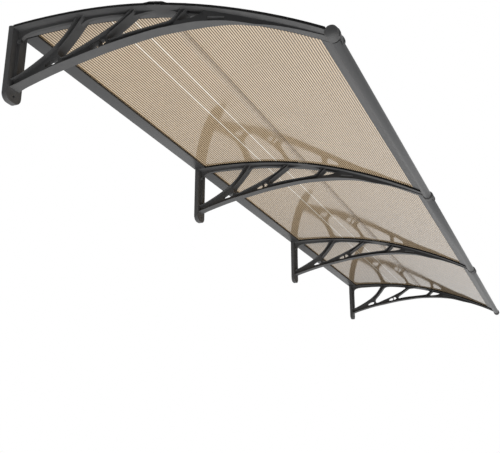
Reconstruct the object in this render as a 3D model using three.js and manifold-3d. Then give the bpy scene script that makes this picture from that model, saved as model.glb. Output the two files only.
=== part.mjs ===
// Door awning: three tinted sheets carried by four moulded brackets, a wall rail and a front rail.
// Millimetres, +Z up. X runs along the wall, the wall is the plane Y = 0, the awning reaches towards -Y.
// Sections are drawn in the side view: the first number is the distance out from the wall, the second is
// the height above the lower ends of the brackets' wall plates.

import * as THREE from 'three';
import { mergeVertices } from 'three/addons/utils/BufferGeometryUtils.js';
import Module from 'manifold-3d';

const wasm = await Module();
wasm.setup();

// Layout along the wall
const BRACKET_COUNT = 4;
const BRACKET_PITCH = 1000;
const CLEARANCE = 0.3;

// Arch of the sheets, in the side view
const ARCH_OUT = 25;
const ARCH_UP = -1376;
const FLANGE_INNER_R = 1567;
const FLANGE_OUTER_R = 1569.5;
const FLANGE_MIDDLE_R = (FLANGE_INNER_R + FLANGE_OUTER_R) / 2;
const GASKET_OUTER_R = 1572.8;
const SHEET_INNER_R = GASKET_OUTER_R + CLEARANCE;
const SHEET_THICKNESS = 5;
const SHEET_OUTER_R = SHEET_INNER_R + SHEET_THICKNESS;
const ARCH_STEPS = 24;
const SHORT_ARC_STEPS = 4;

// Slight crown of the arch around its middle
const CROWN_OUT = 400;
const CROWN_HALF_LENGTH = 300;
const CROWN_RISE = 2.2;

// Bracket: wall plate, T-shaped upper arm, lattice of thick bars, tip collar
const PLATE_HALF_WIDTH = 27;
const PLATE_THICKNESS = 14.7;
const PLATE_TOP = 200.2;
const PLATE_FRONT_TOP = 195.2;
const PLATE_BOTTOM = -5.2;
const PLATE_END_R = 21;
const PLATE_TOP_CORNER_R = 4;
const PLATE_RIB_HALF_WIDTH = 6.7;
const PLATE_RIB_DEPTH = 8;
const PLATE_RIB_BOTTOM = 57;
const PLATE_RIB_TOP = 150;
const SCREW_HOLES = [{ up: 12.8, radius: 3.4 }, { up: 163, radius: 4.2 }];
const SCREW_BOSS_R = 9.5;
const SCREW_BOSS_HEIGHT = 5;
const FLANGE_HALF_WIDTH = 27;
const FLANGE_TIP_OUT = 817;
const LATTICE_TIP_OUT = 813;
const TONGUE_OUT = [800, 822];
const WEB_HALF_WIDTH = 5;
const BAR_RIM = 1.6;
const BAR_CORE = [-10, 4];
const CUT_HALF_WIDTH = 40;
const CUT_OVERLAP = 2;
const MERGE_DISTANCE = 1e-4;
const PLAN_HEIGHT = 250;

// Tip collar, front tube, spigots and the ridged clip in front of the tube
const TUBE_R = 12;
const TUBE_BORE_R = 10.2;
const TUBE_END_INSET = 0.05;
const TUBE_END_GAP = 9;
const TUBE_START_GAP = 6;
const COLLAR_R = 14.4;
const COLLAR_ALONG = [9.5, 28];
const SPIGOT_R = 9.7;
const SPIGOT_LENGTH = 20;
const CLIP_BORE_R = 13.3;
const CLIP_R = 14.8;
const CLIP_RIDGE_R = 16.3;
const CLIP_ANGLES = [-0.56, 1.3];
const CLIP_ALONG = [-18, 28];
const CLIP_RIDGES_ALONG = [[-17, -10], [13, 20]];
const CAP_PROFILE = [[0, 0], [1, 0], [1, 1.2], [0.96, 3.6], [0.86, 5.6], [0.68, 7.3], [0.45, 8.4], [0, 9]];
const ROUND_STEPS = 24;

// Front rail section, along and across the sheet from the sheet's underside at RAIL_OUT
const RAIL_OUT = 812;
const RAIL_TUBE = { along: 23.9, across: -7.5 };
const RAIL_LOWER_JAW_REACH = 28;
const RAIL_UPPER_JAW_REACH = 20;
const RAIL_SLOT_END = 8;
const RAIL_JAW = 2;
const RAIL_SLOT_PLAY = 0.7;
const RAIL_NOSE_ANGLE = Math.PI / 3;
const RAIL_NOSE_STEPS = 18;
const SHEET_FRONT_OUT = 816.5;

// Rear rail section
const REAR_BOTTOM = 190;
const REAR_DEPTH = 42.5;
const REAR_WALL = 2;
const REAR_LIP_TOP = 194.2;
const REAR_SHELF = 196.4;
const REAR_CELL_TOP = 194.6;
const REAR_SLOT_TOP = 202.8;
const REAR_TOP = REAR_SLOT_TOP + REAR_WALL;
const REAR_JAW_DEPTH = 30;
const SEAL_START = 36;
const SEAL_TOP = 196.7;
const SEAL_ROUND = 0.6;
const SHEET_REAR_OUT = 11;

// Joints between the sheets: gasket, clear strips, clamp plates and their screws
const SHEET_GAP_HALF = 5;
const STRIP_OUT = [402, 435];
const STRIP_THICKNESS = 2.8;
const STRIP_PLAY = 1;
const GASKET_BRIDGE_HALF = 4;
const GASKET_FRONT_OUT = 816.8;
const GASKET_LIP = 1.2;
const GASKET_LIP_FROM = FLANGE_HALF_WIDTH + CLEARANCE;
const GASKET_HALF_WIDTH = GASKET_LIP_FROM + GASKET_LIP;
const REAR_END_GAP = GASKET_HALF_WIDTH + CLEARANCE;
const CLAMP_OUT = [388, 450];
const CLAMP_FOOT_OUT = [384, 452];
const CLAMP_FOOT_TOP_OUT = [404, 438];
const CLAMP_FOOT_HALF = 3.5;
const CLAMP_PAD_R = 1577;
const CLAMP_THICKNESS = 2;
const CLAMP_SCREW_OUTS = [417, 430];
const CLAMP_END_SCREW_OFFSET = 20;
const SCREW_SHANK_R = 1.8;
const SCREW_SHANK_LENGTH = 5;
const SCREW_HEAD_R = 3.8;
const SCREW_HEAD_HEIGHT = 3;
const SCREW_HEAD_RIM = 1.5;
const SCREW_HEAD_TOP_R = 2.7;

// The origin lies on the wall, at mid-height of the rear rail
const ORIGIN_UP = (REAR_BOTTOM + REAR_TOP) / 2;

// Lower edge of the lattice, from the wall plate to the tip
const LOWER_EDGE_ARM = [
  [12, 30], [28, 34.7], [60, 43], [100, 52.3], [145, 61.5], [200, 69.4], [280, 80.5], [360, 86.5],
  [424, 88.5],
];
const LOWER_EDGE_TIP = [
  [504, 83], [544, 77.5], [590, 68], [624, 57], [654, 45.5], [694, 32.5], [734, 15.5], [774, -3.5],
  [815, -25],
];

// Upper edge of the lattice's root and of the first strut
const STRUT_1_EDGE = [
  [12, 52], [40, 62], [80, 80.6], [120, 102.7], [140, 117], [160, 134.4], [180, 159], [194, 183],
];

// Openings between the struts; each closes along the flange
const WINDOW_2 = [
  [215, 183], [208, 169.5], [190, 146], [170, 123], [152, 104], [149.5, 94], [153, 84], [162, 78.5],
  [174, 80.5], [200, 90], [240, 104], [280, 120.5], [320, 139], [348, 161],
];
const WINDOW_3 = [
  [357, 158], [354, 150], [340, 141], [300, 115], [290, 108], [287.5, 102], [290, 96.5], [298, 94.5],
  [328, 98], [360, 99.5], [440, 101.5], [455, 104], [467, 112], [474, 120], [479, 128],
];
const LAST_STRUT_EDGE = [[493, 121], [487, 115.5], [478, 107.5], [470.5, 100.5]];
const WINDOW_4 = [
  ...LAST_STRUT_EDGE, [471.5, 96.8], [479, 95], [493, 94.6], [510, 95], [521, 96.8], [529.5, 101],
  [536.5, 107.8],
];

// Small slanting recess under the upper arm, in front of the last opening: its ends in the side view, and
// its section as distance along the wall and height above the line between the ends
const SLANT_ENDS = [[546, 83.5], [586, 77.3]];
const SLANT_SECTION = [[17, 8.4], [17, -3.8], [3, -3.8]];

// Lower edges of the upper arm's middle web, as distance out and radius of the arch: it is filleted into
// the struts and dies out on both sides of the apex
const WEB_REAR = [
  [14, 1558], [80, 1558], [134, 1559.3], [190, 1560.5], [204, 1547], [211, 1550.5], [218, 1555.5],
  [226, 1558.5], [240, 1560.3], [262, 1561.2], [293, 1561.4], [332, 1561.6], [343, 1551.5], [350, 1554.5],
  [360, 1557], [371, 1559.5], [383, 1562.6], [394, 1564.9], [406, 1567],
];
const WEB_FRONT = [
  [442, 1567], [456, 1566], [468, 1563.5], [480, 1559], [500, 1560.8], [560, 1562], [640, 1563],
];

// Holes through the bars' thin core
const LEAF_1 = [
  [103, 72.5], [112, 70], [134, 73.3], [143, 78], [141, 86], [135, 89.5], [119, 85], [106, 77.5],
];
const LEAF_2 = [[229, 88.5], [242, 86.6], [257, 88.6], [256.6, 102.5], [243, 101], [234, 96]];
const LEAF_3 = [[259.6, 90.8], [271, 91.6], [277, 96.5], [270, 107], [259.6, 107]];

// Corner gusset between the plate's rib and the upper arm
const GUSSET = [
  [14, 148], [22.7, 148], [23.2, 162], [25.8, 169], [30.5, 174], [38, 177.5], [50, 179.8], [64, 181.2],
  [64, 190], [14, 191],
];

// The recess in the bars ends at the foot of the last strut
const POCKET_FOOT = [462, 86.4];

// Half-width of the lattice seen from below: flared root, even bars, thin keel
const PLAN = [[10, 19], [20, 16.5], [38, 15], [515, 15], [560, 12], [620, 7], [660, 4], [830, 3.5]];

const v2 = ([out, up]) => new THREE.Vector2(out, up);

// Smooth run through the given points
function curve(points, stepsPerSpan = 2) {
  return new THREE.SplineCurve(points.map(v2)).getPoints((points.length - 1) * stepsPerSpan);
}

// The same run moved sideways: to its left where the distance is positive, to its right where negative
function offsetCurve(points, distance) {
  const run = curve(points);
  return run.map((point, i) => {
    const before = run[Math.max(i - 1, 0)];
    const after = run[Math.min(i + 1, run.length - 1)];
    const direction = after.clone().sub(before).normalize();
    return new THREE.Vector2(point.x - direction.y * distance, point.y + direction.x * distance);
  });
}

// Angle of the arch's normal from the vertical
function archTilt(out) {
  return Math.asin((out - ARCH_OUT) / GASKET_OUTER_R);
}

// Rise of the arch above its circle
function crown(tilt) {
  const fromMiddle = (ARCH_OUT + GASKET_OUTER_R * Math.sin(tilt) - CROWN_OUT) / CROWN_HALF_LENGTH;
  return Math.abs(fromMiddle) < 1 ? CROWN_RISE * Math.cos((fromMiddle * Math.PI) / 2) ** 2 : 0;
}

function archPoint(radius, tilt) {
  const reach = radius + crown(tilt);
  return new THREE.Vector2(ARCH_OUT + reach * Math.sin(tilt), ARCH_UP + reach * Math.cos(tilt));
}

function arc(radius, outFrom, outTo, steps = ARCH_STEPS) {
  const from = archTilt(outFrom);
  const to = archTilt(outTo);
  const points = [];
  for (let i = 0; i <= steps; i += 1) {
    points.push(archPoint(radius, from + ((to - from) * i) / steps));
  }
  return points;
}

// Section between two radii of the arch
function archBand(innerR, outerR, outFrom, outTo, steps = ARCH_STEPS) {
  return new THREE.Shape([...arc(innerR, outFrom, outTo, steps), ...arc(outerR, outTo, outFrom, steps)]);
}

function circlePoints(centre, radius, fromAngle, toAngle, steps) {
  const points = [];
  for (let i = 0; i <= steps; i += 1) {
    const angle = fromAngle + ((toAngle - fromAngle) * i) / steps;
    points.push(new THREE.Vector2(centre.x + radius * Math.cos(angle), centre.y + radius * Math.sin(angle)));
  }
  return points;
}

function circlePath(centre, radius) {
  return new THREE.Path(circlePoints(centre, radius, 0, 2 * Math.PI, ROUND_STEPS).slice(0, -1));
}

// Side-view section pulled along the wall
function extrude(shape, from, to) {
  const geometry = new THREE.ExtrudeGeometry(shape, { depth: to - from, bevelEnabled: false });
  return geometry.translate(0, 0, from);
}

function extrudeCentred(shape, halfWidth) {
  return extrude(shape, -halfWidth, halfWidth);
}

function toSolid(geometry) {
  const bare = geometry.clone();
  bare.deleteAttribute('normal');
  bare.deleteAttribute('uv');
  const merged = mergeVertices(bare, MERGE_DISTANCE);
  return new wasm.Manifold(new wasm.Mesh({
    numProp: 3,
    vertProperties: new Float32Array(merged.attributes.position.array),
    triVerts: new Uint32Array(merged.index.array),
  }));
}

function toGeometry(solid) {
  const result = solid.getMesh();
  const geometry = new THREE.BufferGeometry();
  geometry.setAttribute('position', new THREE.BufferAttribute(result.vertProperties, 3));
  geometry.setIndex(new THREE.BufferAttribute(result.triVerts, 1));
  geometry.computeVertexNormals();
  return geometry;
}

function join(geometries) {
  return geometries.map(toSolid).reduce((all, next) => all.add(next));
}

function cut(solid, geometries) {
  return geometries.map(toSolid).reduce((rest, tool) => rest.subtract(tool), solid);
}

// Front rail frame: along the sheet towards the front, and across it
const RAIL_TILT = archTilt(RAIL_OUT);
const RAIL_ORIGIN = archPoint(SHEET_INNER_R, RAIL_TILT);

function railPoint(along, across) {
  return new THREE.Vector2(
    RAIL_ORIGIN.x + along * Math.cos(RAIL_TILT) + across * Math.sin(RAIL_TILT),
    RAIL_ORIGIN.y - along * Math.sin(RAIL_TILT) + across * Math.cos(RAIL_TILT),
  );
}

const TUBE_CENTRE = railPoint(RAIL_TUBE.along, RAIL_TUBE.across);

function tubeCylinder(radius, from, to) {
  const geometry = new THREE.CylinderGeometry(radius, radius, to - from, ROUND_STEPS);
  geometry.rotateX(Math.PI / 2);
  return geometry.translate(TUBE_CENTRE.x, TUBE_CENTRE.y, (from + to) / 2);
}

// Part of a ring around the tube, on its front side
function clipBand(outerR, from, to) {
  const steps = ROUND_STEPS / 2;
  const [start, end] = CLIP_ANGLES;
  const section = new THREE.Shape([
    ...circlePoints(TUBE_CENTRE, outerR, start, end, steps),
    ...circlePoints(TUBE_CENTRE, CLIP_BORE_R, end, start, steps),
  ]);
  return extrude(section, from, to);
}

// Wall plate: rounded lower end, flat back on the wall, top sloping to the front
function platePiece() {
  const w = PLATE_HALF_WIDTH;
  const top = PLATE_TOP;
  const r = PLATE_TOP_CORNER_R;
  const endOffset = w - PLATE_END_R;
  const endUp = PLATE_BOTTOM + PLATE_END_R;
  const outline = new THREE.Shape();
  outline.moveTo(w, endUp);
  outline.lineTo(w, top - r);
  outline.absarc(w - r, top - r, r, 0, Math.PI / 2, false);
  outline.lineTo(r - w, top);
  outline.absarc(r - w, top - r, r, Math.PI / 2, Math.PI, false);
  outline.lineTo(-w, endUp);
  outline.absarc(-endOffset, endUp, PLATE_END_R, Math.PI, 1.5 * Math.PI, false);
  outline.absarc(endOffset, endUp, PLATE_END_R, 1.5 * Math.PI, 2 * Math.PI, false);
  const plate = new THREE.ExtrudeGeometry(outline, {
    depth: PLATE_THICKNESS,
    bevelEnabled: false,
    curveSegments: ROUND_STEPS / 4,
  });
  const slope = new THREE.Shape([
    [0, PLATE_TOP], [PLATE_THICKNESS, PLATE_FRONT_TOP], [PLATE_THICKNESS + CUT_OVERLAP, PLATE_FRONT_TOP],
    [PLATE_THICKNESS + CUT_OVERLAP, PLATE_TOP + CUT_OVERLAP], [0, PLATE_TOP + CUT_OVERLAP],
  ].map(v2));
  return toGeometry(cut(toSolid(plate.rotateY(Math.PI / 2)), [extrudeCentred(slope, CUT_HALF_WIDTH)]));
}

function screwCylinder(radius, up, from, to) {
  const geometry = new THREE.CylinderGeometry(radius, radius, to - from, ROUND_STEPS / 2);
  geometry.rotateZ(Math.PI / 2);
  return geometry.translate((from + to) / 2, up, 0);
}

// Opening that closes along the flange
function underFlange(edge) {
  const overR = FLANGE_OUTER_R + CUT_OVERLAP;
  return new THREE.Shape([...curve(edge), ...arc(overR, edge.at(-1)[0], edge[0][0], SHORT_ARC_STEPS)]);
}

// Bars of the bracket: one outline with its openings, narrowed in plan towards the tip
function latticePiece() {
  const strutTopOut = STRUT_1_EDGE.at(-1)[0];
  const outline = new THREE.Shape([
    ...curve([...LOWER_EDGE_ARM, ...LOWER_EDGE_TIP]),
    ...arc(FLANGE_MIDDLE_R, LATTICE_TIP_OUT, strutTopOut + CUT_OVERLAP),
    ...curve([...STRUT_1_EDGE].reverse()),
  ]);
  const windows = [WINDOW_2, WINDOW_3, WINDOW_4].map((edge) => (
    extrudeCentred(underFlange(edge), CUT_HALF_WIDTH)
  ));
  const holes = [LEAF_1, LEAF_2, LEAF_3].map((edge) => (
    extrudeCentred(new THREE.Shape(edge.map(v2)), CUT_HALF_WIDTH)
  ));
  const planShape = new THREE.Shape([
    ...PLAN.map(([out, half]) => new THREE.Vector2(out, half)),
    ...[...PLAN].reverse().map(([out, half]) => new THREE.Vector2(out, -half)),
  ]);
  const plan = new THREE.ExtrudeGeometry(planShape, { depth: 2 * PLAN_HEIGHT, bevelEnabled: false });
  plan.rotateX(-Math.PI / 2).translate(0, -PLAN_HEIGHT, 0);
  const bars = cut(toSolid(extrudeCentred(outline, CUT_HALF_WIDTH)), [...windows, ...holes]);
  return bars.intersect(toSolid(plan));
}

// Recesses in both side faces of the bars, which leave a rim along every edge and a thin core
function pocketTools() {
  const pocket = new THREE.Shape([
    ...offsetCurve([...LOWER_EDGE_ARM, POCKET_FOOT], BAR_RIM),
    ...offsetCurve(LAST_STRUT_EDGE, -BAR_RIM).reverse(),
    ...offsetCurve(WINDOW_3, -BAR_RIM).reverse(),
    ...offsetCurve(WINDOW_2, -BAR_RIM).reverse(),
    ...offsetCurve(STRUT_1_EDGE, -BAR_RIM).reverse(),
  ]);
  const [start, end] = SLANT_ENDS.map(([out, up]) => new THREE.Vector3(out, up, 0));
  const direction = end.clone().sub(start);
  const slant = extrude(new THREE.Shape(SLANT_SECTION.map(v2)), 0, direction.length());
  direction.normalize();
  const across = new THREE.Vector3(-direction.y, direction.x, 0);
  const turn = new THREE.Matrix4().makeBasis(new THREE.Vector3(0, 0, 1), across, direction.negate());
  slant.applyMatrix4(turn.setPosition(end));
  return [
    extrude(pocket, BAR_CORE[1], CUT_HALF_WIDTH),
    extrude(pocket, -CUT_HALF_WIDTH, BAR_CORE[0]),
    slant,
  ];
}

// Part of the upper arm's middle web above one of its lower edges
function webPiece(edge) {
  const lower = edge.map(([out, radius]) => archPoint(radius, archTilt(out)));
  const top = arc(FLANGE_MIDDLE_R, edge.at(-1)[0], edge[0][0]);
  return extrudeCentred(new THREE.Shape([...lower, ...top]), WEB_HALF_WIDTH);
}

// One moulded bracket. Spigots stand out on the sides where a front rail is pushed on, and a clip reaches
// over the rail that starts at the bracket.
function bracketGeometry(spigotNear, spigotFar) {
  const ribFront = PLATE_THICKNESS + PLATE_RIB_DEPTH;
  const plateOut = PLATE_THICKNESS - CUT_OVERLAP;
  const rib = new THREE.Shape([
    [plateOut, PLATE_RIB_BOTTOM], [ribFront, PLATE_RIB_BOTTOM + PLATE_RIB_DEPTH],
    [ribFront, PLATE_RIB_TOP], [plateOut, PLATE_RIB_TOP],
  ].map(v2));
  const upperScrewUp = SCREW_HOLES[1].up;
  const plate = join([
    platePiece(),
    extrudeCentred(rib, PLATE_RIB_HALF_WIDTH),
    extrudeCentred(new THREE.Shape(GUSSET.map(v2)), WEB_HALF_WIDTH),
    screwCylinder(SCREW_BOSS_R, upperScrewUp, plateOut, PLATE_THICKNESS + SCREW_BOSS_HEIGHT),
  ]);
  const flange = archBand(FLANGE_INNER_R, FLANGE_OUTER_R, plateOut, FLANGE_TIP_OUT);
  const tongue = archBand(FLANGE_INNER_R, FLANGE_OUTER_R, TONGUE_OUT[0], TONGUE_OUT[1], SHORT_ARC_STEPS);
  const [collarFar, collarNear] = COLLAR_ALONG;
  const near = collarNear + (spigotNear ? SPIGOT_LENGTH : 0);
  const far = collarFar - (spigotFar ? SPIGOT_LENGTH : 0);
  const clip = [
    clipBand(CLIP_R, ...CLIP_ALONG),
    ...CLIP_RIDGES_ALONG.map(([from, to]) => clipBand(CLIP_RIDGE_R, from, to)),
  ];
  const arms = join([
    extrudeCentred(flange, FLANGE_HALF_WIDTH),
    extrude(tongue, collarFar, FLANGE_HALF_WIDTH),
    webPiece(WEB_REAR),
    webPiece(WEB_FRONT),
    tubeCylinder(COLLAR_R, collarFar, collarNear),
    tubeCylinder(SPIGOT_R, far, near),
    ...(spigotFar ? clip : []),
  ]);
  const lattice = cut(latticePiece(), pocketTools());
  const screwHoles = SCREW_HOLES.map(({ up, radius }) => (
    screwCylinder(radius, up, -CUT_OVERLAP, ribFront + CUT_OVERLAP)
  ));
  return toGeometry(cut(plate.add(arms).add(lattice), screwHoles));
}

// Rubber strip on a bracket's upper arm: its lips hang over the flange's edges, and it is notched for the
// clear strips
function gasketGeometry() {
  const innerR = FLANGE_OUTER_R + CLEARANCE;
  const rearOut = PLATE_THICKNESS + CLEARANCE;
  const body = archBand(innerR, GASKET_OUTER_R, rearOut, GASKET_FRONT_OUT);
  const lip = archBand(FLANGE_INNER_R, GASKET_OUTER_R, rearOut, GASKET_FRONT_OUT);
  const notch = archBand(
    FLANGE_INNER_R - CUT_OVERLAP,
    GASKET_OUTER_R + CUT_OVERLAP,
    STRIP_OUT[0] - STRIP_PLAY,
    STRIP_OUT[1] + STRIP_PLAY,
    SHORT_ARC_STEPS,
  );
  const strip = join([
    extrudeCentred(body, GASKET_HALF_WIDTH),
    extrude(lip, GASKET_LIP_FROM, GASKET_HALF_WIDTH),
    extrude(lip, -GASKET_HALF_WIDTH, -GASKET_LIP_FROM),
  ]);
  return toGeometry(cut(strip, [
    extrude(notch, GASKET_BRIDGE_HALF, CUT_HALF_WIDTH),
    extrude(notch, -CUT_HALF_WIDTH, -GASKET_BRIDGE_HALF),
  ]));
}

// Aluminium section that grips the sheets' front edge, with a round tube as its nose
function frontRailGeometry() {
  const c = RAIL_TUBE;
  const lowerTop = -RAIL_SLOT_PLAY;
  const lowerBottom = lowerTop - RAIL_JAW;
  const upperBottom = SHEET_THICKNESS + RAIL_SLOT_PLAY;
  const upperTop = upperBottom + RAIL_JAW;
  const lowerAngle = Math.PI - Math.asin((lowerBottom - c.across) / TUBE_R);
  const upperAngle = RAIL_NOSE_ANGLE;
  const noseEnd = {
    along: c.along + TUBE_R * Math.cos(upperAngle),
    across: c.across + TUBE_R * Math.sin(upperAngle),
  };
  const rise = (upperTop - noseEnd.across) / Math.cos(upperAngle);
  const nose = circlePoints(
    { x: c.along, y: c.across },
    TUBE_R,
    lowerAngle,
    upperAngle + 2 * Math.PI,
    RAIL_NOSE_STEPS,
  );
  const outline = [
    new THREE.Vector2(-RAIL_LOWER_JAW_REACH, lowerBottom),
    ...nose,
    new THREE.Vector2(noseEnd.along - rise * Math.sin(upperAngle), upperTop),
    new THREE.Vector2(-RAIL_UPPER_JAW_REACH, upperTop),
    new THREE.Vector2(-RAIL_UPPER_JAW_REACH, upperBottom),
    new THREE.Vector2(RAIL_SLOT_END, upperBottom),
    new THREE.Vector2(RAIL_SLOT_END, lowerTop),
    new THREE.Vector2(-RAIL_LOWER_JAW_REACH, lowerTop),
  ];
  const section = new THREE.Shape(outline.map((p) => railPoint(p.x, p.y)));
  section.holes.push(circlePath(TUBE_CENTRE, TUBE_BORE_R));
  const ring = new THREE.Shape(circlePath(TUBE_CENTRE, TUBE_R - TUBE_END_INSET).getPoints());
  ring.holes.push(circlePath(TUBE_CENTRE, TUBE_BORE_R));
  const jawClear = GASKET_HALF_WIDTH + 2 * CLEARANCE;
  const jawEnd = BRACKET_PITCH - jawClear;
  const tubeTo = BRACKET_PITCH + COLLAR_ALONG[0] - TUBE_START_GAP;
  return toGeometry(join([
    extrude(section, COLLAR_ALONG[1] + TUBE_END_GAP, jawEnd),
    extrude(ring, jawEnd - CUT_OVERLAP, tubeTo),
  ]));
}

// Aluminium section on the wall: hollow shelf, back wall and upper jaw
function rearRailGeometry() {
  const section = new THREE.Shape([
    [0, REAR_BOTTOM], [REAR_DEPTH, REAR_BOTTOM], [REAR_DEPTH, REAR_LIP_TOP],
    [SEAL_START, REAR_LIP_TOP], [SEAL_START, REAR_SHELF], [REAR_WALL, REAR_SHELF],
    [REAR_WALL, REAR_SLOT_TOP], [REAR_JAW_DEPTH, REAR_SLOT_TOP], [REAR_JAW_DEPTH, REAR_TOP], [0, REAR_TOP],
  ].map(v2));
  section.holes.push(new THREE.Path([
    [REAR_WALL, REAR_BOTTOM + REAR_WALL], [SEAL_START - REAR_WALL, REAR_BOTTOM + REAR_WALL],
    [SEAL_START - REAR_WALL, REAR_CELL_TOP], [REAR_WALL, REAR_CELL_TOP],
  ].map(v2)));
  return extrude(section, REAR_END_GAP, BRACKET_PITCH - REAR_END_GAP);
}

// Rubber bead between the wall rail's front lip and the sheet
function rearSealGeometry() {
  const bottom = REAR_LIP_TOP + CLEARANCE;
  const section = new THREE.Shape([
    [SEAL_START + CLEARANCE, bottom], [REAR_DEPTH - SEAL_ROUND, bottom], [REAR_DEPTH, bottom + SEAL_ROUND],
    [REAR_DEPTH, SEAL_TOP - SEAL_ROUND], [REAR_DEPTH - SEAL_ROUND, SEAL_TOP],
    [SEAL_START + CLEARANCE, SEAL_TOP],
  ].map(v2));
  return extrude(section, REAR_END_GAP, BRACKET_PITCH - REAR_END_GAP);
}

function sheetGeometry() {
  const section = archBand(SHEET_INNER_R, SHEET_OUTER_R, SHEET_REAR_OUT, SHEET_FRONT_OUT);
  return extrude(section, SHEET_GAP_HALF, BRACKET_PITCH - SHEET_GAP_HALF);
}

function centreStripGeometry() {
  const innerR = GASKET_OUTER_R - STRIP_THICKNESS;
  const section = archBand(innerR, GASKET_OUTER_R, STRIP_OUT[0], STRIP_OUT[1], SHORT_ARC_STEPS);
  const end = GASKET_BRIDGE_HALF + 2 * CLEARANCE;
  return extrude(section, end, BRACKET_PITCH - end);
}

const CLAMP_INNER_R = SHEET_OUTER_R + CLEARANCE;
const CLAMP_OUTER_R = CLAMP_INNER_R + CLAMP_THICKNESS;

// The clamp's screws stand in the gap between two sheets, or on the pad beside the end sheet
const screwAlong = (outerSide) => outerSide * CLAMP_END_SCREW_OFFSET;
const screwSeatR = (outerSide) => (outerSide === 0 ? CLAMP_OUTER_R : CLAMP_PAD_R);

// Block on the gasket with tapered ends
function clampFoot(topR) {
  return new THREE.Shape([
    ...arc(SHEET_INNER_R, CLAMP_FOOT_OUT[0], CLAMP_FOOT_OUT[1], SHORT_ARC_STEPS),
    ...arc(topR, CLAMP_FOOT_TOP_OUT[1], CLAMP_FOOT_TOP_OUT[0], SHORT_ARC_STEPS),
  ]);
}

// Cover plate over the gap between two sheets, with a foot that reaches down to the gasket. At the row's ends
// a low pad takes the place of the missing sheet: outerSide is 1 or -1 there, else 0.
function clampPlateGeometry(outerSide) {
  const plate = archBand(CLAMP_INNER_R, CLAMP_OUTER_R, CLAMP_OUT[0], CLAMP_OUT[1], SHORT_ARC_STEPS);
  const w = FLANGE_HALF_WIDTH;
  const pieces = [
    extrude(plate, outerSide < 0 ? 0 : -w, outerSide > 0 ? 0 : w),
    extrudeCentred(clampFoot(CLAMP_OUTER_R), CLAMP_FOOT_HALF),
  ];
  if (outerSide !== 0) {
    pieces.push(extrude(clampFoot(CLAMP_PAD_R), outerSide < 0 ? -w : 0, outerSide < 0 ? 0 : w));
  }
  const body = join(pieces);
  const holeDepth = SCREW_SHANK_LENGTH + CLEARANCE;
  const holes = CLAMP_SCREW_OUTS.map((out) => {
    const radius = SCREW_SHANK_R + CLEARANCE;
    const hole = new THREE.CylinderGeometry(radius, radius, 2 * holeDepth, ROUND_STEPS / 2);
    const tilt = archTilt(out);
    const centre = archPoint(screwSeatR(outerSide), tilt);
    return hole.rotateZ(-tilt).translate(centre.x, centre.y, screwAlong(outerSide));
  });
  return toGeometry(cut(body, holes));
}

// Pan-head screw, standing on its shank
function clampScrewGeometry() {
  const profile = [
    [0, -SCREW_SHANK_LENGTH], [SCREW_SHANK_R, -SCREW_SHANK_LENGTH], [SCREW_SHANK_R, 0], [SCREW_HEAD_R, 0],
    [SCREW_HEAD_R, SCREW_HEAD_RIM], [SCREW_HEAD_TOP_R, SCREW_HEAD_HEIGHT], [0, SCREW_HEAD_HEIGHT],
  ].map(v2);
  return new THREE.LatheGeometry(profile, ROUND_STEPS / 2);
}

// Domed cover on the collar's outer end
function endCapGeometry() {
  const profile = CAP_PROFILE.map(([share, height]) => new THREE.Vector2(share * COLLAR_R, height));
  return new THREE.LatheGeometry(profile, ROUND_STEPS).rotateX(Math.PI / 2);
}

const MATERIALS = {
  bracket: { color: 0x3b3b3d, roughness: 0.5, metalness: 0 },
  rubber: { color: 0x0a0a0a, roughness: 0.8, metalness: 0 },
  rail: { color: 0x4c4c4e, roughness: 0.45, metalness: 0.3 },
  sheet: { color: 0xb08a5e, roughness: 0.15, metalness: 0, transparent: true, opacity: 0.75 },
  strip: { color: 0xcfc8bd, roughness: 0.25, metalness: 0, transparent: true, opacity: 0.8 },
  screw: { color: 0x8a8a88, roughness: 0.3, metalness: 1 },
};

function piece(name, geometry, look) {
  const mesh = new THREE.Mesh(geometry, new THREE.MeshStandardMaterial(MATERIALS[look]));
  mesh.name = name;
  return mesh;
}

// Everything that stands at one bracket
function bracketStation(index) {
  const station = new THREE.Group();
  const number = index + 1;
  const isFirst = index === 0;
  const isLast = index === BRACKET_COUNT - 1;
  const outerSide = Number(isFirst) - Number(isLast);
  station.add(piece(`bracket_${number}`, bracketGeometry(!isFirst, !isLast), 'bracket'));
  station.add(piece(`gasket_${number}`, gasketGeometry(), 'rubber'));
  station.add(piece(`clamp_plate_${number}`, clampPlateGeometry(outerSide), 'bracket'));
  CLAMP_SCREW_OUTS.forEach((out, k) => {
    const screw = piece(`clamp_screw_${number}_${k + 1}`, clampScrewGeometry(), 'screw');
    const seat = archPoint(screwSeatR(outerSide) + CLEARANCE, archTilt(out));
    screw.position.set(seat.x, seat.y, screwAlong(outerSide));
    screw.rotation.z = -archTilt(out);
    station.add(screw);
  });
  if (isFirst || isLast) {
    const cap = piece(isFirst ? 'rail_end_cap_1' : 'rail_end_cap_2', endCapGeometry(), 'bracket');
    const along = isFirst ? COLLAR_ALONG[1] + CLEARANCE : COLLAR_ALONG[0] - CLEARANCE;
    cap.position.set(TUBE_CENTRE.x, TUBE_CENTRE.y, along);
    cap.rotation.y = isFirst ? 0 : Math.PI;
    station.add(cap);
  }
  return station;
}

// Everything that spans from one bracket to the next
function bay(index) {
  const span = new THREE.Group();
  const number = index + 1;
  span.add(piece(`sheet_${number}`, sheetGeometry(), 'sheet'));
  span.add(piece(`front_rail_${number}`, frontRailGeometry(), 'rail'));
  span.add(piece(`rear_rail_${number}`, rearRailGeometry(), 'rail'));
  span.add(piece(`rear_seal_${number}`, rearSealGeometry(), 'rubber'));
  span.add(piece(`centre_strip_${number}`, centreStripGeometry(), 'strip'));
  return span;
}

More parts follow.
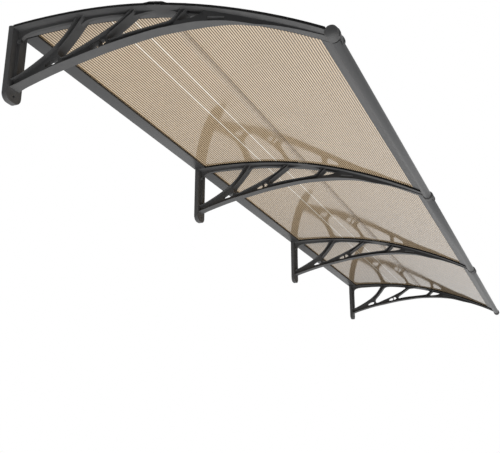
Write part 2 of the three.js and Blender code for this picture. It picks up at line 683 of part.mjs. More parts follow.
// The side view stands upright, facing along the wall
const awning = new THREE.Group();
awning.setRotationFromMatrix(new THREE.Matrix4().makeBasis(
  new THREE.Vector3(0, -1, 0),
  new THREE.Vector3(0, 0, 1),
  new THREE.Vector3(-1, 0, 0),
));
awning.position.z = -ORIGIN_UP;

const stationAlong = (index) => ((BRACKET_COUNT - 1) / 2 - index) * BRACKET_PITCH;

for (let index = 0; index < BRACKET_COUNT; index += 1) {
  const station = bracketStation(index);
  station.position.z = stationAlong(index);
  awning.add(station);
}

for (let index = 0; index < BRACKET_COUNT - 1; index += 1) {
  const span = bay(index);
  span.position.z = stationAlong(index + 1);
  awning.add(span);
}

const root = new THREE.Group();
root.add(awning);

export default root;
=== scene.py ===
"""Door awning: looks of the brackets, rails, fluted sheets, seals and fasteners. Metres, +Z up."""

from math import asin, cos, pi, radians, sin

import bmesh
import bpy
from mathutils import Matrix, Vector


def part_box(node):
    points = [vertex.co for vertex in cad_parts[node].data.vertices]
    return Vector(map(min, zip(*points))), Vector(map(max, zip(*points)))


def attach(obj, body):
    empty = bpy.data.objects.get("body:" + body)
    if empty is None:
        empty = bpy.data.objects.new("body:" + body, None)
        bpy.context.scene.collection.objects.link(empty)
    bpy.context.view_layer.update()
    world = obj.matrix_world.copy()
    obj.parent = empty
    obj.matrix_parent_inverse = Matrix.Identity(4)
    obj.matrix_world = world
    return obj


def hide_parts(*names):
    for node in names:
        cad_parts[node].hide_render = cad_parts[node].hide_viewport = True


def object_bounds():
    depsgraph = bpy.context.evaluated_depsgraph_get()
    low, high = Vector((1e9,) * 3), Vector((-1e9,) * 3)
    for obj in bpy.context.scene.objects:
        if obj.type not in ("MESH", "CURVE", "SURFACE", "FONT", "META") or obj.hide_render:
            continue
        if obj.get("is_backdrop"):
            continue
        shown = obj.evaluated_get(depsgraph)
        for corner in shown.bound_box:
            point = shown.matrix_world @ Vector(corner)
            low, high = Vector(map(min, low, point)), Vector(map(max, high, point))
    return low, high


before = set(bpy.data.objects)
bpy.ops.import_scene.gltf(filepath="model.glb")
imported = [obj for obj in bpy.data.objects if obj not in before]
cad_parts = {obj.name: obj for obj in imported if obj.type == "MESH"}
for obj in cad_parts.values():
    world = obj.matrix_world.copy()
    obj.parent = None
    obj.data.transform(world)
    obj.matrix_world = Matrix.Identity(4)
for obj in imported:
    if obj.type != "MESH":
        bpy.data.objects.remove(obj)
cad_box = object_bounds()

# Layout along the wall
BRACKETS = (1, 2, 3, 4)
BAYS = (1, 2, 3)
PITCH = 1.0
FIRST_BRACKET_X = -1.5
BRACKET_X = {number: FIRST_BRACKET_X + (number - 1) * PITCH for number in BRACKETS}

# Arch of the sheets: its centre line runs along the wall
ARCH_Y = -0.025
ARCH_Z = -1.5734
SHEET_INNER_R = 1.5731
SHEET_OUTER_R = 1.5781
GASKET_R = 1.5728

# Slight crown of the arch around its middle
CROWN_OUT = 0.400
CROWN_HALF_LENGTH = 0.300
CROWN_RISE = 0.0022

# Fluted sheet
SHEET_REAR_OUT = 0.011
SHEET_FRONT_OUT = 0.8165
FLUTE_COUNT = 99
SKIN = 0.0006
RIB = 0.0006
# Two flutes carry a painted highlight that stands for reflected long lights
HIGHLIGHT_FLUTES = (29, 36)

# Centre strip
STRIP_OUT = (0.402, 0.435)
STRIP_THICKNESS = 0.0028
STRIP_BEAD = 0.0007
STRIP_STEPS = 8
# Width at the strip's rear edge that its painted shade leaves out
STRIP_UNSHADED_EDGE = 0.008

# Upper rim of a bracket's wall plate: within this distance of the wall and above this height
PLATE_RIM_OUT = 0.0155
PLATE_RIM_UP = -0.004

# Painted shade on the recessed sides of a bracket's bars: between two planes beside its middle, and fading
# out near the wall
SHADE_NEAR = -0.0255
SHADE_FAR = 0.01005
SHADE_FADE = (-0.34, -0.08)

# Rounded edges
BRACKET_EDGE = 0.0007
GASKET_EDGE = 0.0006
CLAMP_EDGE = 0.0005
CAP_EDGE = 0.0004
SEAL_EDGE = 0.0003
SCREW_EDGE = 0.0003
RAIL_EDGE = 0.0003
STRIP_EDGE = 0.0002
CORNER_SHARE = 0.45

# Clean-up and smoothing of the meshes
SAME_POINT = 1e-6
MERGE_DISTANCE = 0.00015
SLIVER = 0.00005
FLAT_ANGLE = radians(0.4)
ROUND_ANGLE = radians(32)
SMOOTH_ANGLE = radians(35)
SIDEWAYS = 0.9

# Front rail section, along and across the sheet from the sheet's underside
RAIL_OUT = 0.812
TUBE_ALONG = 0.0239
TUBE_ACROSS = -0.0075
TUBE_R = 0.012
TUBE_BORE_R = 0.0102
JAW = 0.002
SLOT_PLAY = 0.0007
SHEET_THICKNESS = SHEET_OUTER_R - SHEET_INNER_R
LOWER_JAW_REACH = 0.028
UPPER_JAW_REACH = 0.020
SLOT_END = 0.008
JAW_CLEAR = 0.0291
CUT_R = 0.08
CUT_INSET = 0.00005
CUT_OVERRUN = 0.01
NOSE_STEPS = 44
BORE_STEPS = 40
CUT_STEPS = 48
CORNER_R = 0.0007

# Rear rail section: distance out from the wall and height in the row frame
REAR_BOTTOM = -0.0074
REAR_LIP_TOP = -0.0032
REAR_SHELF = -0.0010
REAR_CELL_TOP = -0.0028
REAR_SLOT_TOP = 0.0054
REAR_TOP = 0.0074
REAR_DEPTH = 0.0425
REAR_WALL = 0.002
REAR_JAW_DEPTH = 0.030
SEAL_START = 0.036
CELL_CORNER_R = 0.0005

# Colours: a pair is two tones of one surface
BRACKET_TONES = ((0.073, 0.073, 0.074), (0.086, 0.086, 0.086))
# Painted shade for the recessed sides of the bracket's bars
BRACKET_PAINTED_SHADE = (0.036, 0.036, 0.037)
CLAMP_TONES = ((0.012, 0.012, 0.012), (0.018, 0.018, 0.018))
RAIL_TONES = ((0.036, 0.037, 0.038), (0.045, 0.045, 0.046))
RUBBER_TONES = ((0.004, 0.004, 0.004), (0.009, 0.009, 0.009))
STEEL_TONES = ((0.40, 0.40, 0.39), (0.58, 0.58, 0.57))
SHEET_LIGHT = (0.745, 0.578, 0.382)
SHEET_HAZED = tuple(0.93 * c for c in SHEET_LIGHT)
SHEET_DARK = (0.13, 0.087, 0.048)
# Painted highlight colour for the two highlighted flutes
SHEET_PAINTED_HIGHLIGHT = (1.0, 0.91, 0.76)
SHEET_SEE_THROUGH = 0.15
STRIP_TONES = ((0.66, 0.61, 0.54), (0.60, 0.55, 0.48))
# Painted shade: the strip's see-through colour darkens from the rear to the front
STRIP_REAR_UNSHADED = (1.0, 1.0, 1.0)
STRIP_FRONT_PAINTED_SHADE = (0.88, 0.87, 0.86)
STRIP_MILKINESS = 0.05
FLOOR_COLOUR = (0.82, 0.82, 0.82)

# Camera and stage
CAMERA_LENS = 53.18
CAMERA_PLACE = Vector((-2.7494, -1.1862, -1.0444))
CAMERA_FORWARD = Vector((0.8718, 0.3792, 0.3100))
CAMERA_RIGHT = Vector((0.3989, -0.9170, 0.0))
FLOOR_Z = -2.4
FLOOR_HALF = 15.0
FILL_LIGHT = 0.22


def row_point(out, height, x=0.0):
    """A point given by its distance out from the wall and its height."""
    return Vector((x, -out, height))


def arch_tilt(out):
    """Angle on the arch at a distance out from the wall."""
    return asin((out + ARCH_Y) / GASKET_R)


def crown(tilt):
    """Rise of the arch above its circle."""
    from_middle = (GASKET_R * sin(tilt) - ARCH_Y - CROWN_OUT) / CROWN_HALF_LENGTH
    return CROWN_RISE * cos(from_middle * pi / 2) ** 2 if abs(from_middle) < 1 else 0.0


def arch_point(radius, tilt):
    """Distance out and height of a point on the arch."""
    reach = radius + crown(tilt)
    return (-ARCH_Y + reach * sin(tilt), ARCH_Z + reach * cos(tilt))


def arc(centre, radius, start, end, steps):
    """Points on a circle in the side view."""
    angles = [start + (end - start) * k / steps for k in range(steps + 1)]
    return [(centre[0] + radius * cos(a), centre[1] + radius * sin(a)) for a in angles]


def rounded(points, radius, steps=4):
    """The closed outline with its corners turned into short arcs."""
    result = []
    count = len(points)
    for k, corner in enumerate(points):
        corner = Vector(corner)
        before = Vector(points[k - 1]) - corner
        after = Vector(points[(k + 1) % count]) - corner
        reach = min(radius, before.length * CORNER_SHARE, after.length * CORNER_SHARE)
        start = corner + before.normalized() * reach
        end = corner + after.normalized() * reach
        for s in range(steps + 1):
            t = s / steps
            blend = start.lerp(corner, t).lerp(corner.lerp(end, t), t)
            result.append((blend.x, blend.y))
    return result


# Material nodes

def new_material(name):
    """A new material with its nodes and its main shader."""
    material = bpy.data.materials.new(name)
    material.use_nodes = True
    tree = material.node_tree
    return material, tree, tree.nodes["Principled BSDF"]


def add(tree, kind, **inputs):
    """A new node with its inputs set by name."""
    node = tree.nodes.new(kind)
    for key, value in inputs.items():
        node.inputs[key.replace("_", " ")].default_value = value
    return node


def link(tree, source, target):
    tree.links.new(source, target)


def object_noise(tree, scale, detail=3.0, stretch=(1, 1, 1)):
    """Noise in the object's own coordinates, so many bumps to the metre."""
    coordinates = tree.nodes.new("ShaderNodeTexCoord")
    mapping = add(tree, "ShaderNodeMapping", Scale=stretch)
    noise = add(tree, "ShaderNodeTexNoise", Scale=scale, Detail=detail)
    link(tree, coordinates.outputs["Object"], mapping.inputs["Vector"])
    link(tree, mapping.outputs["Vector"], noise.inputs["Vector"])
    return noise.outputs["Fac"]


def object_place(tree, axis):
    """One of the object's own coordinates."""
    coordinates = tree.nodes.new("ShaderNodeTexCoord")
    split = tree.nodes.new("ShaderNodeSeparateXYZ")
    link(tree, coordinates.outputs["Object"], split.inputs["Vector"])
    return split.outputs[axis]


def computed(tree, operation, first, second=None, clamp=False):
    """Result of a calculation on one or two inputs, each a socket or a number."""
    node = tree.nodes.new("ShaderNodeMath")
    node.operation = operation
    node.use_clamp = clamp
    for socket, value in zip(node.inputs, (first, second)):
        if isinstance(value, float):
            socket.default_value = value
        elif value is not None:
            link(tree, value, socket)
    return node.outputs["Value"]


def ranged(tree, value, low, high, from_low=0.3, from_high=0.7):
    """The value moved from one range to another and kept inside it."""
    node = add(tree, "ShaderNodeMapRange", From_Min=from_low, From_Max=from_high, To_Min=low, To_Max=high)
    link(tree, value, node.inputs["Value"])
    return node.outputs["Result"]


def mixed_colour(tree, factor, first, second):
    """Colour between two, each a tuple or a socket."""
    node = tree.nodes.new("ShaderNodeMix")
    node.data_type = "RGBA"
    link(tree, factor, node.inputs["Factor"])
    for socket, value in ((node.inputs[6], first), (node.inputs[7], second)):
        if isinstance(value, tuple):
            socket.default_value = (*value, 1.0)
        else:
            link(tree, value, socket)
    return node.outputs[2]


def toned(tree, noise, tones):
    """Colour that wanders between two tones."""
    return mixed_colour(tree, ranged(tree, noise, 0.0, 1.0), *tones)


def masked(tree, name):
    """The value that the mesh stores under a name."""
    mask = tree.nodes.new("ShaderNodeAttribute")
    mask.attribute_name = name
    return mask.outputs["Fac"]


def blend_surface(tree, factor, first, second):
    """Puts a mix of two shaders on the surface; the factor is a socket or a number."""
    both = tree.nodes.new("ShaderNodeMixShader")
    if isinstance(factor, float):
        both.inputs["Fac"].default_value = factor
    else:
        link(tree, factor, both.inputs["Fac"])
    link(tree, first, both.inputs[1])
    link(tree, second, both.inputs[2])
    link(tree, both.outputs["Shader"], tree.nodes["Material Output"].inputs["Surface"])


def bumped(tree, shader, height, strength, distance):
    """Fine relief on the shader's surface."""
    bump = add(tree, "ShaderNodeBump", Strength=strength, Distance=distance)
    link(tree, height, bump.inputs["Height"])
    link(tree, bump.outputs["Normal"], shader.inputs["Normal"])


def plastic(name, tones, painted_shade=None):
    """Moulded satin plastic: faint flow marks, fine spark-eroded grain, and painted shade on the recessed
    sides if given.
    """
    material, tree, shader = new_material(name)
    flow = object_noise(tree, 45.0)
    colour = toned(tree, flow, tones)
    # Painted shade on the marked recessed sides, fading out near the wall
    if painted_shade:
        fade = ranged(tree, object_place(tree, "Y"), 1.0, 0.1, *SHADE_FADE)
        colour = mixed_colour(tree, computed(tree, "MULTIPLY", masked(tree, "painted_shade"), fade), colour, painted_shade)
    link(tree, colour, shader.inputs["Base Color"])
    link(tree, ranged(tree, flow, 0.40, 0.52), shader.inputs["Roughness"])
    shader.inputs["Specular IOR Level"].default_value = 0.1
    bumped(tree, shader, object_noise(tree, 1300.0, 2.0), 0.12, 0.0002)
    return material


def coated_metal(name, tones):
    """Extruded aluminium with a satin coat: faint die lines run along the wall."""
    material, tree, shader = new_material(name)
    lines = object_noise(tree, 420.0, 2.0, (0.004, 1, 1))
    cloud = object_noise(tree, 14.0)
    lined = toned(tree, lines, tones)
    colour = mixed_colour(tree, ranged(tree, cloud, 0.0, 0.35), lined, tones[1])
    link(tree, colour, shader.inputs["Base Color"])
    link(tree, ranged(tree, lines, 0.38, 0.48), shader.inputs["Roughness"])
    shader.inputs["Metallic"].default_value = 0.15
    bumped(tree, shader, lines, 0.08, 0.0002)
    return material


def rubber(name):
    """Black seal rubber with a faint bloom."""
    material, tree, shader = new_material(name)
    bloom = object_noise(tree, 90.0)
    link(tree, toned(tree, bloom, RUBBER_TONES), shader.inputs["Base Color"])
    link(tree, ranged(tree, bloom, 0.72, 0.86), shader.inputs["Roughness"])
    shader.inputs["Specular IOR Level"].default_value = 0.15
    bumped(tree, shader, object_noise(tree, 1800.0, 2.0), 0.2, 0.0002)
    return material


def steel(name):
    """Bright screw steel, slightly worn."""
    material, tree, shader = new_material(name)
    wear = object_noise(tree, 700.0)
    link(tree, toned(tree, wear, STEEL_TONES), shader.inputs["Base Color"])
    link(tree, ranged(tree, wear, 0.22, 0.38), shader.inputs["Roughness"])
    shader.inputs["Metallic"].default_value = 1.0
    return material


def flute_mask(tree):
    """0 in the middle of a flute and 1 at a rib, from the map that counts flutes."""
    uv = tree.nodes.new("ShaderNodeUVMap")
    uv.uv_map = "flutes"
    split = tree.nodes.new("ShaderNodeSeparateXYZ")
    link(tree, uv.outputs["UV"], split.inputs["Vector"])
    wave = computed(tree, "COSINE", computed(tree, "MULTIPLY", split.outputs["Y"], 2 * pi))
    return ranged(tree, wave, 0.0, 1.0, -0.55, 0.55)


def tinted_sheet(name):
    """Bronze polycarbonate: darker at the ribs, and glossy, with a painted highlight in the middle of two
    flutes.
    """
    material, tree, shader = new_material(name)
    ribs = flute_mask(tree)
    haze = object_noise(tree, 9.0, 4.0)
    stripes = mixed_colour(tree, ribs, toned(tree, haze, (SHEET_LIGHT, SHEET_HAZED)), SHEET_DARK)
    # Painted highlight in the middle of the two marked flutes
    highlight_middle = computed(tree, "SUBTRACT", masked(tree, "clear"), ribs, clamp=True)
    colour = mixed_colour(tree, highlight_middle, stripes, SHEET_PAINTED_HIGHLIGHT)
    link(tree, colour, shader.inputs["Base Color"])
    link(tree, ranged(tree, haze, 0.05, 0.09), shader.inputs["Roughness"])
    shader.inputs["IOR"].default_value = 1.58
    glass = tree.nodes.new("ShaderNodeBsdfTransparent")
    link(tree, colour, glass.inputs["Color"])
    blend_surface(tree, 1.0 - SHEET_SEE_THROUGH, glass.outputs["BSDF"], shader.outputs["BSDF"])
    return material


def clear_strip(name):
    """Clear joining strip, slightly milky, with painted shade that darkens it towards its front edge."""
    material, tree, shader = new_material(name)
    haze = object_noise(tree, 12.0, 4.0, (0.2, 1, 1))
    link(tree, toned(tree, haze, STRIP_TONES), shader.inputs["Base Color"])
    link(tree, ranged(tree, haze, 0.10, 0.18), shader.inputs["Roughness"])
    # Painted shade, from none near the rear edge to full at the front edge
    shade = ranged(tree, object_place(tree, "Y"), 1.0, 0.0, -STRIP_OUT[1], -STRIP_OUT[0] - STRIP_UNSHADED_EDGE)
    glass = tree.nodes.new("ShaderNodeBsdfTransparent")
    link(tree, mixed_colour(tree, shade, STRIP_REAR_UNSHADED, STRIP_FRONT_PAINTED_SHADE), glass.inputs["Color"])
    blend_surface(tree, STRIP_MILKINESS, glass.outputs["BSDF"], shader.outputs["BSDF"])
    return material


BRACKET_PLASTIC = plastic("bracket_plastic", BRACKET_TONES, BRACKET_PAINTED_SHADE)
CLAMP_PLASTIC = plastic("clamp_plastic", CLAMP_TONES)
RAIL_METAL = coated_metal("rail_metal", RAIL_TONES)
RUBBER = rubber("seal_rubber")
STEEL = steel("screw_steel")
SHEET_SKIN = tinted_sheet("tinted_sheet")
STRIP_CLEAR = clear_strip("clear_strip")


# Pieces

def settle(piece, material, slot, *nodes):
    """Puts a finished piece on the part with its material and body, and hides the nodes it stands for. The
    slot is not used.
    """
    piece.data.materials.clear()
    piece.data.materials.append(material)
    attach(piece, "root")
    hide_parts(*nodes)
    return piece


def mesh_piece(name, bm):
    """A new object with this mesh, smooth except at its sharp edges."""
    mesh = bpy.data.meshes.new(name)
    bm.to_mesh(mesh)
    bm.free()
    mesh.shade_smooth()
    mesh.set_sharp_from_angle(angle=SMOOTH_ANGLE)
    piece = bpy.data.objects.new(name, mesh)
    bpy.context.scene.collection.objects.link(piece)
    return piece


def on_plate_top(point):
    """True on the thin upper rim of a wall plate, whose edges stay sharp."""
    return point.y > -PLATE_RIM_OUT and point.z > PLATE_RIM_UP


def wants_rounding(edge):
    """True for a sharp edge, unless it lies on a wall plate's upper rim."""
    sharp = edge.is_manifold and edge.calc_face_angle() > ROUND_ANGLE
    return sharp and not all(on_plate_top(v.co) for v in edge.verts)


def refined(node, name, radius):
    """The node's own solid with its flat faces cleaned up and its edges rounded."""
    bm = bmesh.new()
    bm.from_mesh(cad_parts[node].data)
    bmesh.ops.remove_doubles(bm, verts=bm.verts, dist=MERGE_DISTANCE)
    bmesh.ops.dissolve_degenerate(bm, edges=bm.edges, dist=SLIVER)
    fins = [face for face in bm.faces if any(edge.is_boundary for edge in face.edges)]
    bmesh.ops.delete(bm, geom=fins, context="FACES")
    flanks = [edge for edge in bm.edges if all(abs(face.normal.x) < SIDEWAYS for face in edge.link_faces)]
    bmesh.ops.dissolve_limit(bm, angle_limit=FLAT_ANGLE, verts=[], edges=flanks)
    weight = bm.edges.layers.float.new("bevel_weight_edge")
    for edge in bm.edges:
        edge[weight] = 1.0 if wants_rounding(edge) else 0.0
    piece = mesh_piece(name, bm)
    bevel = piece.modifiers.new("rounded_edges", "BEVEL")
    bevel.width = radius
    bevel.segments = 2
    bevel.limit_method = "WEIGHT"
    bevel.use_clamp_overlap = False
    bevel.harden_normals = True
    return piece


def extruded(name, loops, x_from, x_to, edge=RAIL_EDGE):
    """A side-view section with its holes, pulled along the wall, with broken end edges."""
    section = bpy.data.curves.new(name, "CURVE")
    section.dimensions = "2D"
    section.fill_mode = "BOTH"
    section.extrude = (x_to - x_from) / 2 - edge
    section.bevel_depth = edge
    section.bevel_resolution = 1
    section.offset = -edge
    for loop in loops:
        spline = section.splines.new("POLY")
        spline.points.add(len(loop) - 1)
        for point, (out, height) in zip(spline.points, loop):
            point.co = (-out, height, 0.0, 1.0)
        spline.use_cyclic_u = True
    holder = bpy.data.objects.new(name, section)
    bpy.context.scene.collection.objects.link(holder)
    depsgraph = bpy.context.evaluated_depsgraph_get()
    bm = bmesh.new()
    bm.from_mesh(holder.evaluated_get(depsgraph).to_mesh())
    bpy.data.objects.remove(holder)
    bpy.data.curves.remove(section)
    bmesh.ops.remove_doubles(bm, verts=bm.verts, dist=SAME_POINT)
    turn = Matrix(((0, 0, 1), (1, 0, 0), (0, 1, 0))).to_4x4()
    turn.translation = Vector(((x_from + x_to) / 2, 0, 0))
    bm.transform(turn)
    bmesh.ops.recalc_face_normals(bm, faces=bm.faces)
    return mesh_piece(name, bm)


def cut_away(piece, tool):
    """Takes the tool's volume off the piece."""
    boolean = piece.modifiers.new("cut", "BOOLEAN")
    boolean.object = tool
    boolean.solver = "EXACT"
    depsgraph = bpy.context.evaluated_depsgraph_get()
    bm = bmesh.new()
    bm.from_mesh(piece.evaluated_get(depsgraph).to_mesh())
    piece.modifiers.remove(boolean)
    bpy.data.objects.remove(tool)
    bmesh.ops.remove_doubles(bm, verts=bm.verts, dist=SAME_POINT)
    bm.to_mesh(piece.data)
    bm.free()
    piece.data.shade_smooth()
    piece.data.set_sharp_from_angle(angle=SMOOTH_ANGLE)


def make_bracket(number):
    """Moulded bracket; the recessed sides of its bars are marked for painted shade."""
    node = f"bracket_{number}"
    piece = refined(node, f"moulded_bracket_{number}", BRACKET_EDGE)
    # Faces on the recessed sides of the bars, facing along the wall, get painted shade
    painted_shade = piece.data.attributes.new("painted_shade", "FLOAT", "FACE")
    for face, value in zip(piece.data.polygons, painted_shade.data):
        offset = face.center.x - BRACKET_X[number]
        near = face.normal.x < -SIDEWAYS and offset > SHADE_NEAR
        far = face.normal.x > SIDEWAYS and offset < SHADE_FAR
        value.value = 1.0 if near or far else 0.0
    settle(piece, BRACKET_PLASTIC, "bracket_plastic", node)


def flute_columns():
    """Both sides of each rib from the rear edge to the front edge, each a tilt and a count of flutes."""
    rear = arch_tilt(SHEET_REAR_OUT)
    front = arch_tilt(SHEET_FRONT_OUT)
    pitch = (front - rear) / FLUTE_COUNT
    half_rib = RIB / 2 / SHEET_INNER_R
    columns = [(rear, 0.0), (rear + 2 * half_rib, 0.0)]
    for k in range(1, FLUTE_COUNT):
        columns += [(rear + k * pitch - half_rib, float(k)), (rear + k * pitch + half_rib, float(k))]
    columns += [(front - 2 * half_rib, float(FLUTE_COUNT)), (front, float(FLUTE_COUNT))]
    return columns


def make_sheet(number):
    """Twin-wall sheet: two skins joined by ribs, with open flutes that run along the wall."""
    node = f"sheet_{number}"
    low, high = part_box(node)
    columns = flute_columns()
    radii = (SHEET_INNER_R, SHEET_INNER_R + SKIN, SHEET_OUTER_R - SKIN, SHEET_OUTER_R)
    bm = bmesh.new()
    uv = bm.loops.layers.uv.new("flutes")
    # Faces of two flutes are marked for a painted highlight
    clear = bm.faces.layers.float.new("clear")
    grid = {}
    flute_map = {}
    for side, x in enumerate((low.x, high.x)):
        for c, (tilt, flute) in enumerate(columns):
            for r, radius in enumerate(radii):
                vertex = bm.verts.new(row_point(*arch_point(radius, tilt), x))
                grid[side, c, r] = vertex
                flute_map[vertex] = (x, flute)

    def quad(corners, flute=None):
        """A face through four grid places, each an end of the sheet, a column and a radius."""
        face = bm.faces.new([grid[place] for place in corners])
        for loop in face.loops:
            loop[uv].uv = flute_map[loop.vert]
        face[clear] = 1.0 if flute in HIGHLIGHT_FLUTES else 0.0

    for c in range(len(columns) - 1):
        hollow = c % 2 == 1
        flute = c // 2 if hollow else None
        quad([(0, c, 0), (0, c + 1, 0), (1, c + 1, 0), (1, c, 0)], flute)
        quad([(0, c, 3), (1, c, 3), (1, c + 1, 3), (0, c + 1, 3)], flute)
        for r in range(3):
            if hollow and r == 1:
                continue
            quad([(0, c, r), (0, c, r + 1), (0, c + 1, r + 1), (0, c + 1, r)])
            quad([(1, c, r), (1, c + 1, r), (1, c + 1, r + 1), (1, c, r + 1)])
        if hollow:
            quad([(0, c, 1), (1, c, 1), (1, c + 1, 1), (0, c + 1, 1)], flute)
            quad([(0, c, 2), (0, c + 1, 2), (1, c + 1, 2), (1, c, 2)], flute)
            quad([(0, c, 1), (0, c, 2), (1, c, 2), (1, c, 1)])
            quad([(0, c + 1, 1), (1, c + 1, 1), (1, c + 1, 2), (0, c + 1, 2)])
    last = len(columns) - 1
    for r in range(3):
        quad([(0, 0, r), (1, 0, r), (1, 0, r + 1), (0, 0, r + 1)])
        quad([(0, last, r), (0, last, r + 1), (1, last, r + 1), (1, last, r)])
    bmesh.ops.recalc_face_normals(bm, faces=bm.faces)
    settle(mesh_piece(f"fluted_sheet_{number}", bm), SHEET_SKIN, "tinted_sheet", node)


def rail_point(along, across):
    """A point of the front rail's section, given along and across the sheet's front edge."""
    tilt = arch_tilt(RAIL_OUT)
    out, height = arch_point(SHEET_INNER_R, tilt)
    return (
        out + along * cos(tilt) + across * sin(tilt),
        height - along * sin(tilt) + across * cos(tilt),
    )


def rail_circle(radius, steps):
    """Circle around the middle of the front rail's nose."""
    circle = arc((TUBE_ALONG, TUBE_ACROSS), radius, 0, 2 * pi, steps)
    return [rail_point(*p) for p in circle[:-1]]


def make_front_rail(number):
    """Jaws that grip the sheet's front edge, and a round hollow nose that runs on alone at the near end."""
    node = f"front_rail_{number}"
    low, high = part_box(node)
    lower_top = -SLOT_PLAY
    lower_bottom = lower_top - JAW
    upper_bottom = SHEET_THICKNESS + SLOT_PLAY
    upper_top = upper_bottom + JAW
    start = pi - asin((lower_bottom - TUBE_ACROSS) / TUBE_R)
    end = pi / 3
    nose = arc((TUBE_ALONG, TUBE_ACROSS), TUBE_R, start, end + 2 * pi, NOSE_STEPS)
    rise = (upper_top - nose[-1][1]) / cos(end)
    shoulder = (nose[-1][0] - rise * sin(end), upper_top)
    jaws = rounded([
        shoulder, (-UPPER_JAW_REACH, upper_top), (-UPPER_JAW_REACH, upper_bottom), (SLOT_END, upper_bottom),
        (SLOT_END, lower_top), (-LOWER_JAW_REACH, lower_top), (-LOWER_JAW_REACH, lower_bottom), nose[0],
    ], CORNER_R)
    outline = [rail_point(*p) for p in jaws + nose[1:]]
    bore = rail_circle(TUBE_BORE_R, BORE_STEPS)
    piece = extruded(f"front_rail_extrusion_{number}", [outline, bore], low.x, high.x)
    jaw_start = BRACKET_X[number] + JAW_CLEAR
    around_tube = [rail_circle(CUT_R, CUT_STEPS), rail_circle(TUBE_R - CUT_INSET, CUT_STEPS)]
    cut_away(piece, extruded("jaw_cutter", around_tube, low.x - CUT_OVERRUN, jaw_start))
    settle(piece, RAIL_METAL, "rail_metal", node)


def make_rear_rail(number):
    """Wall rail: hollow shelf, back wall and upper jaw."""
    node = f"rear_rail_{number}"
    low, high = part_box(node)
    outline = rounded([
        (0, REAR_BOTTOM), (REAR_DEPTH, REAR_BOTTOM), (REAR_DEPTH, REAR_LIP_TOP), (SEAL_START, REAR_LIP_TOP),
        (SEAL_START, REAR_SHELF), (REAR_WALL, REAR_SHELF), (REAR_WALL, REAR_SLOT_TOP),
        (REAR_JAW_DEPTH, REAR_SLOT_TOP), (REAR_JAW_DEPTH, REAR_TOP), (0, REAR_TOP),
    ], CORNER_R)
    cell_front = SEAL_START - REAR_WALL
    cell = rounded([
        (REAR_WALL, REAR_BOTTOM + REAR_WALL), (cell_front, REAR_BOTTOM + REAR_WALL),
        (cell_front, REAR_CELL_TOP), (REAR_WALL, REAR_CELL_TOP),
    ], CELL_CORNER_R)
    piece = extruded(f"wall_rail_extrusion_{number}", [outline, cell], low.x, high.x)
    settle(piece, RAIL_METAL, "rail_metal", node)


def make_centre_strip(number):
    """Thin curved strip with a fine bead along both edges."""
    node = f"centre_strip_{number}"
    low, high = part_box(node)
    rear, front = (arch_tilt(out) for out in STRIP_OUT)
    bead = STRIP_BEAD / GASKET_R
    inner = GASKET_R - STRIP_THICKNESS
    tilts = [rear + (front - rear) * k / STRIP_STEPS for k in range(STRIP_STEPS + 1)]
    under = [arch_point(inner, rear), arch_point(inner, rear + 2 * bead)]
    under += [arch_point(inner + STRIP_BEAD, t) for t in tilts[1:-1]]
    under += [arch_point(inner, front - 2 * bead), arch_point(inner, front)]
    over = [arch_point(GASKET_R, t) for t in reversed(tilts)]
    piece = extruded(f"joining_strip_{number}", [under + over], low.x, high.x, STRIP_EDGE)
    settle(piece, STRIP_CLEAR, "clear_strip", node)


def make_screws(number):
    """The two screws of a clamp plate."""
    for k in (1, 2):
        node = f"clamp_screw_{number}_{k}"
        piece = refined(node, f"pan_screw_{number}_{k}", SCREW_EDGE)
        settle(piece, STEEL, "screw_steel", node)


def make_small_pieces():
    """Gaskets, clamp plates with their screws, seals and end caps."""
    for number in BRACKETS:
        gasket = refined(f"gasket_{number}", f"rubber_gasket_{number}", GASKET_EDGE)
        settle(gasket, RUBBER, "rubber", f"gasket_{number}")
        plate = refined(f"clamp_plate_{number}", f"cover_clamp_{number}", CLAMP_EDGE)
        settle(plate, CLAMP_PLASTIC, "bracket_plastic", f"clamp_plate_{number}")
        make_screws(number)
    for number in BAYS:
        seal = refined(f"rear_seal_{number}", f"rubber_seal_{number}", SEAL_EDGE)
        settle(seal, RUBBER, "rubber", f"rear_seal_{number}")
    for number in (1, 2):
        cap = refined(f"rail_end_cap_{number}", f"domed_end_cap_{number}", CAP_EDGE)
        settle(cap, BRACKET_PLASTIC, "bracket_plastic", f"rail_end_cap_{number}")


for number in BRACKETS:
    make_bracket(number)
for number in BAYS:
    make_sheet(number)
    make_front_rail(number)
    make_rear_rail(number)
    make_centre_strip(number)
make_small_pieces()


# Stage

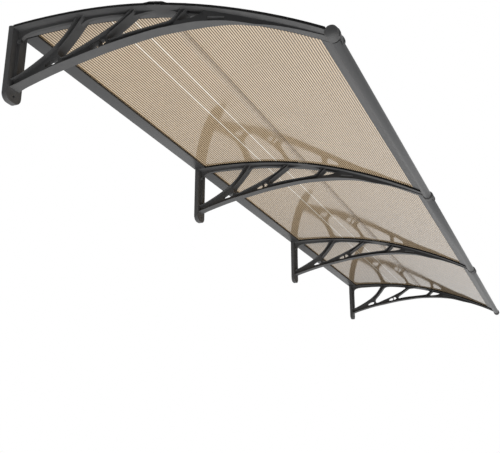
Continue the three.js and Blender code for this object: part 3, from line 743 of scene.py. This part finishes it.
def make_floor():
    """Pale floor, white to the camera and in reflections."""
    bm = bmesh.new()
    bmesh.ops.create_grid(bm, x_segments=8, y_segments=8, size=FLOOR_HALF)
    bmesh.ops.translate(bm, verts=bm.verts, vec=(0, 0, FLOOR_Z))
    floor = mesh_piece("studio_floor", bm)
    material, tree, shader = new_material("studio_floor")
    shader.inputs["Base Color"].default_value = (*FLOOR_COLOUR, 1.0)
    shader.inputs["Roughness"].default_value = 0.9
    shader.inputs["Specular IOR Level"].default_value = 0.0
    path = tree.nodes.new("ShaderNodeLightPath")
    glow = add(tree, "ShaderNodeEmission", Strength=1.0)
    seen = computed(tree, "MAXIMUM", path.outputs["Is Camera Ray"], path.outputs["Is Glossy Ray"])
    blend_surface(tree, seen, shader.outputs["BSDF"], glow.outputs["Emission"])
    floor.data.materials.append(material)
    floor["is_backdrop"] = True


def area_light(name, place, target, size, power):
    """Soft panel that shines at a target and isn't seen itself."""
    lamp = bpy.data.lights.new(name, "AREA")
    lamp.shape = "RECTANGLE"
    lamp.size, lamp.size_y = size
    lamp.energy = power
    holder = bpy.data.objects.new(name, lamp)
    holder.location = place
    aim = Vector(target) - Vector(place)
    holder.rotation_euler = aim.to_track_quat("-Z", "Y").to_euler()
    holder.visible_camera = False
    holder.visible_glossy = False
    bpy.context.scene.collection.objects.link(holder)


def make_world():
    """White to the camera and in reflections, and a softer fill on the surfaces."""
    world = bpy.data.worlds.new("studio")
    bpy.context.scene.world = world
    world.use_nodes = True
    tree = world.node_tree
    path = tree.nodes.new("ShaderNodeLightPath")
    seen = computed(tree, "MAXIMUM", path.outputs["Is Camera Ray"], path.outputs["Is Glossy Ray"])
    seen = computed(tree, "MAXIMUM", seen, path.outputs["Is Transmission Ray"])
    strength = ranged(tree, seen, FILL_LIGHT, 1.0, 0.0, 1.0)
    background = tree.nodes["Background"]
    background.inputs["Color"].default_value = (1.0, 1.0, 1.0, 1.0)
    link(tree, strength, background.inputs["Strength"])


def make_camera():
    """Camera at the photograph's viewpoint."""
    camera = bpy.data.cameras.new("camera")
    camera.lens = CAMERA_LENS
    camera.sensor_width = 36.0
    camera.clip_end = 100.0
    holder = bpy.data.objects.new("camera", camera)
    bpy.context.scene.collection.objects.link(holder)
    forward = CAMERA_FORWARD.normalized()
    right = CAMERA_RIGHT.normalized()
    turn = Matrix((right, right.cross(forward), -forward)).transposed()
    holder.matrix_world = Matrix.Translation(CAMERA_PLACE) @ turn.to_4x4()
    bpy.context.scene.camera = holder


make_floor()
make_world()
make_camera()
area_light("sky_panel", place=(0.0, -1.5, 3.0), target=(0.0, -0.4, 0.0), size=(5.0, 4.0), power=40.0)
area_light(
    "floor_panel", place=(-1.4, -0.7, FLOOR_Z + 0.2), target=(-1.4, -0.5, 0.0), size=(3.4, 2.4), power=74.0,
)
area_light("side_panel", place=(-3.8, -1.1, -1.7), target=(-1.4, -0.35, -0.05), size=(2.4, 2.0), power=14.0)
bpy.context.scene.view_settings.view_transform = "Standard"

boxes = {"cad": cad_box, "visual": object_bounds()}
{name: [list(corner) for corner in box] for name, box in boxes.items()}
